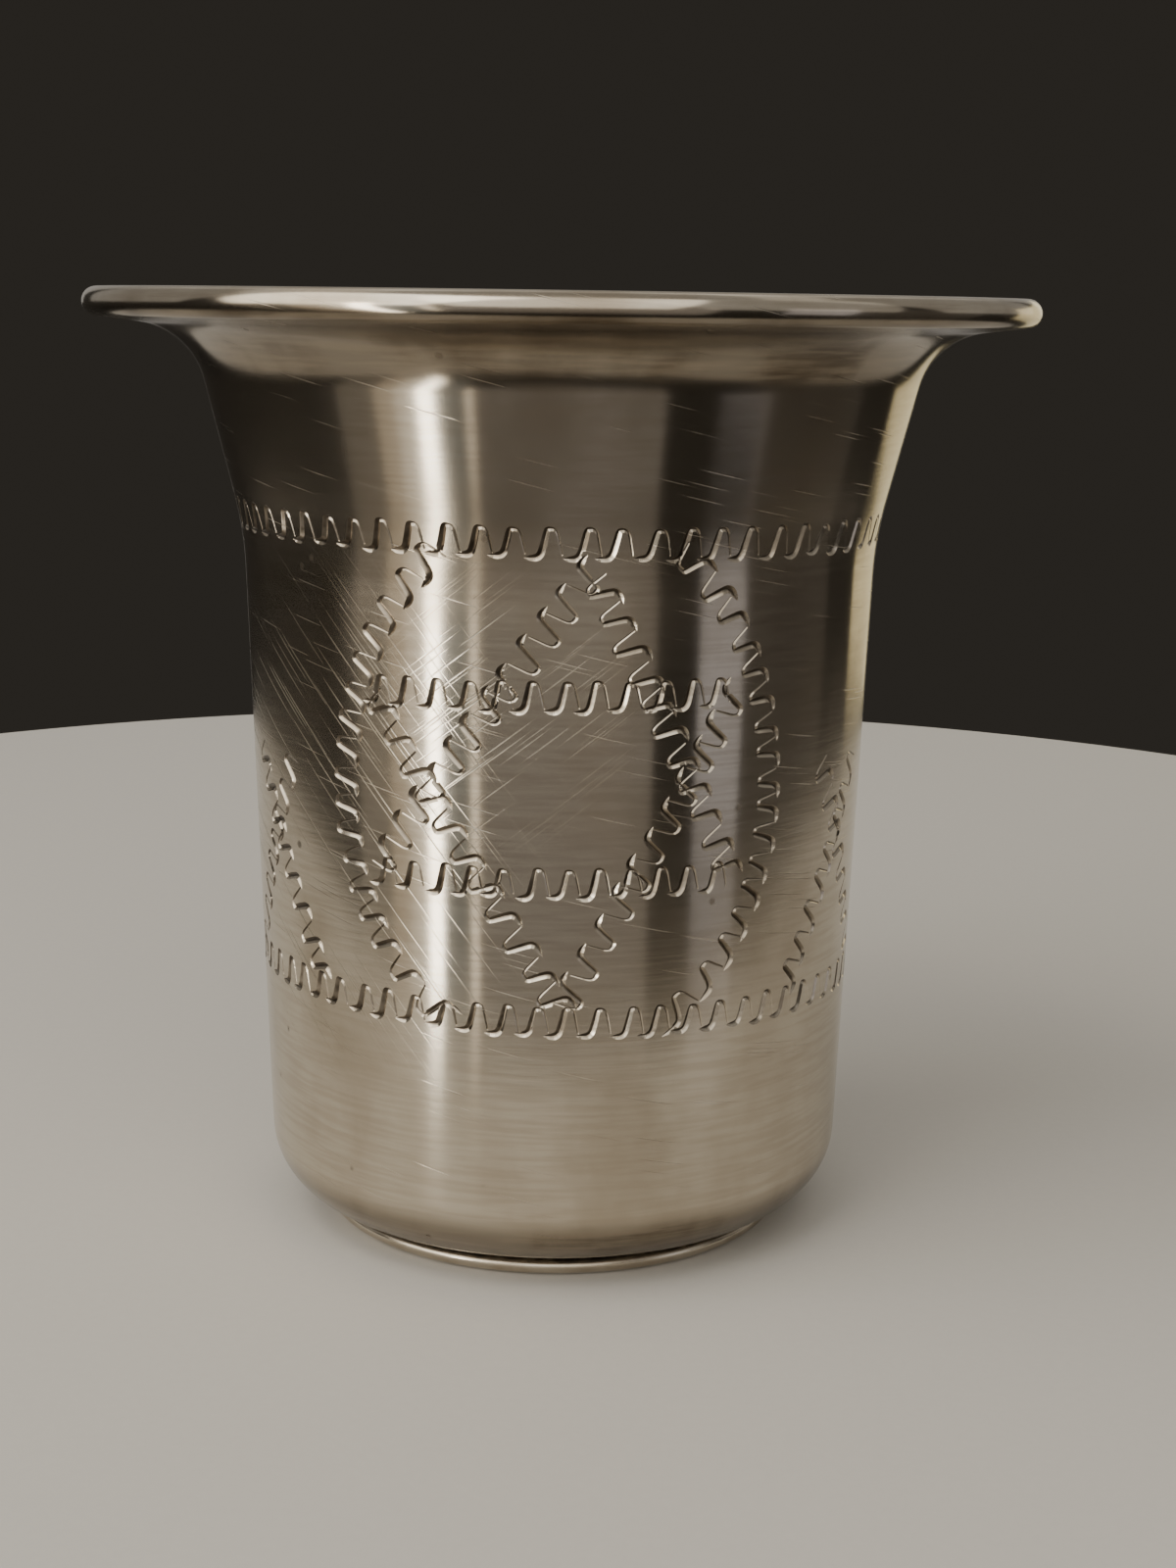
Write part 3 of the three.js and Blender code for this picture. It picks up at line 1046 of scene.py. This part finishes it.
def dull_wire(finish):
    """Silver wire that is rubbed bright outside and dirty where it meets the base."""
    bench = Bench("dull_wire")
    place = bench.place()
    film = bench.ramp(bench.noise(place, WIRE_CLOUDS, detail=4.0), 0.35, 0.7)
    grit = bench.noise(place, WIRE_GRIT, detail=4.0)
    joint_dirt = bench.ramp(bench.upward(place), 1.0, 1.5) * bench.ramp(grit, 0.3, 0.6, 0.5, 1.0)
    toned = bench.mix(film * 0.6, finish.silver, finish.tarnish)
    darkened = bench.mix(joint_dirt, toned, finish.grime_and_shade)
    rough = finish.polish + film * 0.1 + joint_dirt * 0.2
    rubs = bench.noise(place, WIRE_RUBS, detail=3.0)
    return bench.finish(
        Base_Color=darkened, Metallic=1.0, Roughness=rough, Normal=bench.bump(rubs * WIRE_RUB_DEPTH)
    )


def floor_paper(tint):
    """Plain matt paper with a faint tooth."""
    bench = Bench("floor_paper")
    tooth = bench.noise(bench.place(), PAPER_TOOTH, detail=3.0)
    paler = [min(1, 1.05 * part) for part in tint]
    return bench.finish(
        Base_Color=bench.mix(tooth, tint, paler), Roughness=0.75, Normal=bench.bump(tooth * TOOTH_DEPTH)
    )


# Stage


def make_floor(studio):
    """A low round table top under the cup, with a softly rounded edge."""
    edge = studio.floor_edge
    shell = Shell(studio.floor_columns)
    top_rim = Vector((studio.floor_radius - edge, 0))
    side_top = Vector((studio.floor_radius, -edge))
    side_low = Vector((studio.floor_radius, -studio.floor_thickness))
    edge_centre = Vector((studio.floor_radius - edge, -edge))
    shell.turn(straight_rows(side_low, side_top, steps=1))
    shell.turn(arc_rows(edge_centre, edge, 0, math.pi / 2, steps=8))
    shell.turn(straight_rows(top_rim, Vector((0, 0)), steps=4))
    floor = shell.make_object("floor")
    floor.location.y = studio.floor_radius - studio.floor_front
    floor.data.materials.append(floor_paper(studio.floor))


def add_light(name, bright, tint, place, target, size):
    """A soft rectangular light whose face has the given brightness."""
    lamp = bpy.data.lights.new(name, "AREA")
    lamp.shape = "RECTANGLE"
    lamp.size, lamp.size_y = size
    lamp.energy = bright * math.pi * size[0] * size[1]
    lamp.color = tint
    light = bpy.data.objects.new(name, lamp)
    light.location = place
    light.rotation_euler = (Vector(target) - Vector(place)).to_track_quat("-Z", "Y").to_euler()
    light.visible_camera = False
    bpy.context.scene.collection.objects.link(light)


def add_panels(studio):
    """Upright panels round the cup, turned to it. They reach below the floor, beyond its edge."""
    for name, start, end, low, bright, tint in PANELS:
        middle = (low + studio.panel_high) / 2
        wide = 2 * studio.panel_distance * math.tan(math.radians(end - start) / 2)
        place = round_axis(math.radians((start + end) / 2), studio.panel_distance, middle)
        add_light(name, bright, tint, place, (0, 0, middle), (wide, studio.panel_high - low))


def add_sky(studio):
    """Large soft lights above eye level, which show in the bead and on the upward sides of the cuts."""
    for name, degrees, bright in SKY:
        place = round_axis(math.radians(degrees), studio.sky_reach, studio.sky_height)
        add_light(name, bright, studio.lamp, place, (0, 0, BEAKER_HIGH.z), SKY_SIZE)


def add_camera():
    """The camera as the photograph was taken, for an image of 1200 by 1600."""
    eye = (0, -195.04 * MM, 74.97 * MM)
    focal_pixels, half_height_pixels = 2427.8, 800
    pitch, yaw, roll = math.radians(11.351), math.radians(0.7467), math.radians(0.8171)
    ahead = Vector((math.sin(yaw) * math.cos(pitch), math.cos(yaw) * math.cos(pitch), -math.sin(pitch)))
    level = Vector((math.cos(yaw), -math.sin(yaw), 0))
    rising = level.cross(ahead)
    right = level * math.cos(roll) + rising * math.sin(roll)
    up = rising * math.cos(roll) - level * math.sin(roll)
    data = bpy.data.cameras.new("camera")
    data.lens = data.sensor_width / 2 * focal_pixels / half_height_pixels
    data.clip_start = 0.01
    camera = bpy.data.objects.new("camera", data)
    turn = Matrix((right, up, -ahead)).transposed().to_4x4()
    camera.matrix_world = Matrix.Translation(eye) @ turn
    bpy.context.scene.collection.objects.link(camera)
    bpy.context.scene.camera = camera


def set_room(tint):
    world = bpy.data.worlds.new("room")
    world.use_nodes = True
    world.node_tree.nodes["Background"].inputs["Color"].default_value = (*tint, 1)
    bpy.context.scene.world = world


# Operators and their panel


def put_in_place(piece, node, material):
    piece.data.materials.append(material)
    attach(piece, "root")
    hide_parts(node)


class CUP_OT_make_beaker(Operator):
    """Make the spun beaker with its engraving"""

    bl_idname = "cup.make_beaker"
    bl_label = "Make beaker"

    def execute(self, context):
        settings = context.scene.kiddush_cup
        beaker = make_beaker_shell(settings.beaker, settings.engraving).make_object("engraved_beaker")
        put_in_place(beaker, "beaker", spun_silver(settings.finish))
        return {"FINISHED"}


class CUP_OT_make_foot_ring(Operator):
    """Make the wire ring that the cup stands on"""

    bl_idname = "cup.make_foot_ring"
    bl_label = "Make foot ring"

    def execute(self, context):
        settings = context.scene.kiddush_cup
        shell = Shell(settings.foot.columns)
        for stretch in ring_section(settings.foot):
            shell.turn(stretch)
        ring = shell.make_object("wire_foot_ring")
        put_in_place(ring, "foot_ring", dull_wire(settings.finish))
        return {"FINISHED"}


class CUP_OT_make_stage(Operator):
    """Make the floor, the lights and the camera"""

    bl_idname = "cup.make_stage"
    bl_label = "Make stage"

    def execute(self, context):
        studio = context.scene.kiddush_cup.studio
        make_floor(studio)
        add_light("overhead", studio.overhead, studio.lamp, OVERHEAD_PLACE, (0, 0, 0), OVERHEAD_SIZE)
        add_panels(studio)
        add_sky(studio)
        add_camera()
        set_room(studio.room)
        return {"FINISHED"}


class CUP_PT_sidebar(Panel):
    """Lists the pieces of the cup"""

    bl_label = "Kiddush cup"
    bl_space_type = "VIEW_3D"
    bl_region_type = "UI"
    bl_category = "Cup"

    def draw(self, context):
        for operator in OPERATORS:
            self.layout.operator(operator.bl_idname)


OPERATORS = (CUP_OT_make_beaker, CUP_OT_make_foot_ring, CUP_OT_make_stage)
GROUPS = (CupBeakerSizes, CupEngravingSizes, CupFootSizes, CupFinish, CupStudio, CupSettings)
CLASSES = (*GROUPS, *OPERATORS, CUP_PT_sidebar)


def register():
    for kind in CLASSES:
        bpy.utils.register_class(kind)
    bpy.types.Scene.kiddush_cup = PointerProperty(type=CupSettings)


def unregister():
    del bpy.types.Scene.kiddush_cup
    for kind in reversed(CLASSES):
        bpy.utils.unregister_class(kind)


def main():
    register()
    bpy.ops.cup.make_beaker()
    bpy.ops.cup.make_foot_ring()
    bpy.ops.cup.make_stage()


if __name__ == "__main__":
    main()
